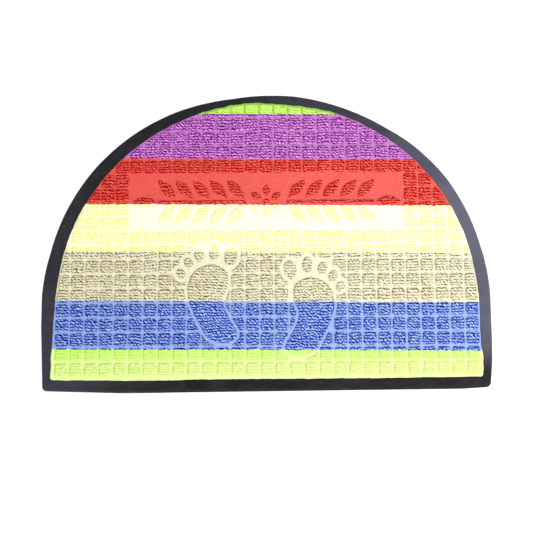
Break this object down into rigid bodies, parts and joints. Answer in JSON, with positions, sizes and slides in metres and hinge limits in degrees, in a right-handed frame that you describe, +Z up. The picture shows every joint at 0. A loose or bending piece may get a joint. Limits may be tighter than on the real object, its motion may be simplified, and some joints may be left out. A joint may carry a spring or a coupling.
{
  "type": "half-round rubber doormat",
  "caption": "Flat half-round doormat: a bevelled rubber border and backing, with a striped carpet face pressed into blocks, a leaf garland and a pair of bare footprints.",
  "frame": {"origin": "on the floor, at the middle of the underside's bounding rectangle", "axes": "+X along the straight edge, +Y from the straight edge towards the top of the arch, +Z up out of the carpet face"},
  "size_m": [0.6, 0.404, 0.006],
  "materials": {
    "rubber": "moulded black rubber, satin, with a faint crumb speckle",
    "carpet": "needle-punched polypropylene carpet in level stripes: green, purple, red, yellow, beige, blue and green, with smooth paler pressed channels"
  },
  "bodies": {
    "root": {"backing": "rubber", "pile": "carpet"}
  },
  "joints": []
}
